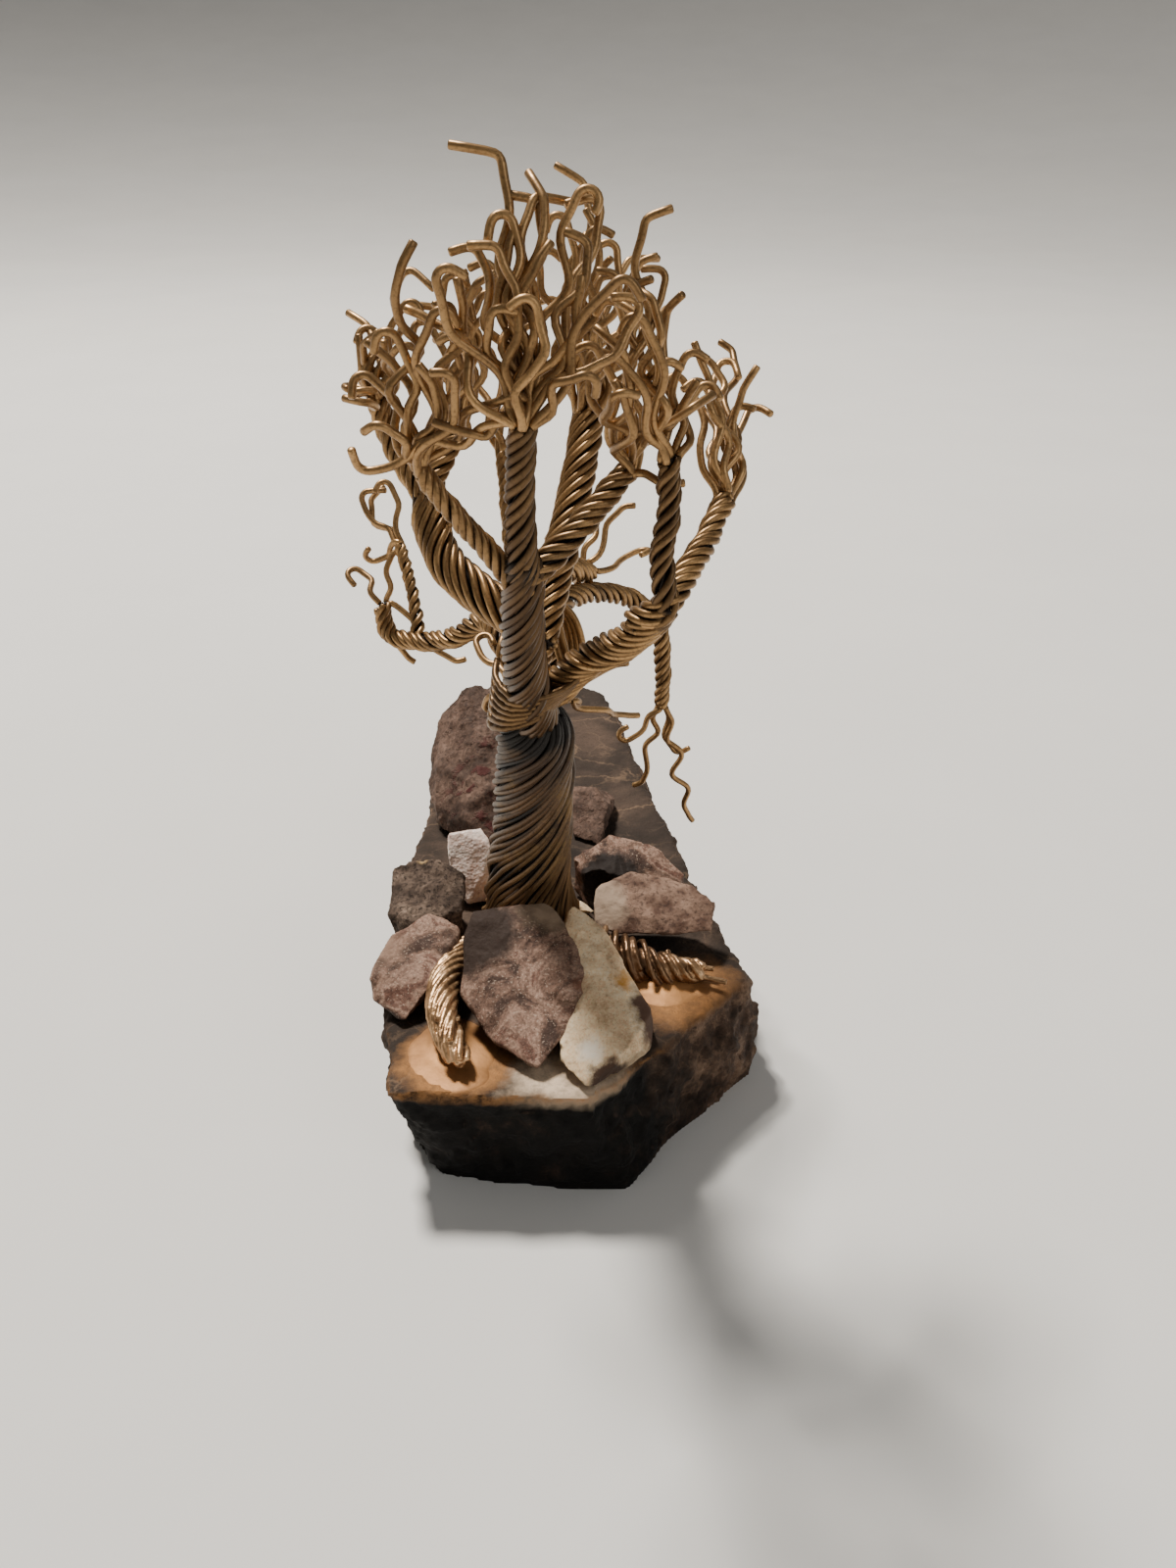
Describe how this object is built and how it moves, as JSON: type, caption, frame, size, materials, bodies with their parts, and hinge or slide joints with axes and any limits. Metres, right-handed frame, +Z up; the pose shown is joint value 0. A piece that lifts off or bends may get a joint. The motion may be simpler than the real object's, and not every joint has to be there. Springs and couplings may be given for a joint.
{
  "type": "wire tree ornament on a stone slab",
  "caption": "Small tabletop tree of twisted bronze-coloured wire with wavy hooked twigs, glued among stone chips on a long rough stone slab.",
  "frame": {"origin": "on the slab's underside, below the middle of its length", "axes": "+Z up; +Y along the slab, towards its far end, away from the side the crown leans to; +X to the right as seen from the front"},
  "size_m": [0.0562, 0.1375, 0.1161],
  "materials": {
    "slab_stone": "flat cut top, rough broken sides, thin tan veins",
    "glue_paint": "glossy bronze paint over glue",
    "brown_stone": "rough, speckled",
    "grey_stone": "rough, speckled, with pale crystals",
    "dark_stone": "rough",
    "pale_quartz": "crystalline",
    "pitted_rock": "rough, pitted",
    "painted_root": "wire ends under bronze paint",
    "trunk_wire": "dull, worn brighter on the outside",
    "bronze_wire": "satin"
  },
  "bodies": {
    "root": {"slab": "slab_stone", "front_glue": "glue_paint", "right_glue": "glue_paint", "front_shard": "brown_stone", "grey_stone": "grey_stone", "left_front_stone": "brown_stone", "left_dark_stone": "dark_stone", "pale_quartz": "pale_quartz", "right_rear_stone": "brown_stone", "right_block": "brown_stone", "rear_rock": "pitted_rock", "rear_lump": "pitted_rock", "pebbles": "grey_stone", "front_root": "painted_root", "right_root": "painted_root", "rear_root": "painted_root", "trunk": "trunk_wire", "crotch_wrap": "bronze_wire", "arch_wires": "bronze_wire", "leader": "bronze_wire", "front_branch": "bronze_wire", "front_left_branch": "bronze_wire", "front_right_branch": "bronze_wire", "rear_leader": "bronze_wire", "thin_branch": "bronze_wire", "left_arm": "bronze_wire", "left_arm_outer": "bronze_wire", "left_arm_inner": "bronze_wire", "cut_stub": "bronze_wire", "right_arm": "bronze_wire", "right_arm_near": "bronze_wire", "right_arm_far": "bronze_wire", "low_left_arm": "bronze_wire", "low_left_sprig": "bronze_wire", "rear_right_branch": "bronze_wire", "rear_short_branch": "bronze_wire", "front_twigs": "bronze_wire", "front_left_twigs": "bronze_wire", "front_right_twigs": "bronze_wire", "rear_leader_twigs": "bronze_wire", "thin_twigs": "bronze_wire", "left_outer_twigs": "bronze_wire", "left_inner_twigs": "bronze_wire", "right_near_twigs": "bronze_wire", "right_far_twigs": "bronze_wire", "low_left_twigs": "bronze_wire", "sprig_twigs": "bronze_wire", "rear_right_twigs": "bronze_wire", "rear_short_twigs": "bronze_wire", "crotch_curls": "bronze_wire"}
  },
  "joints": []
}
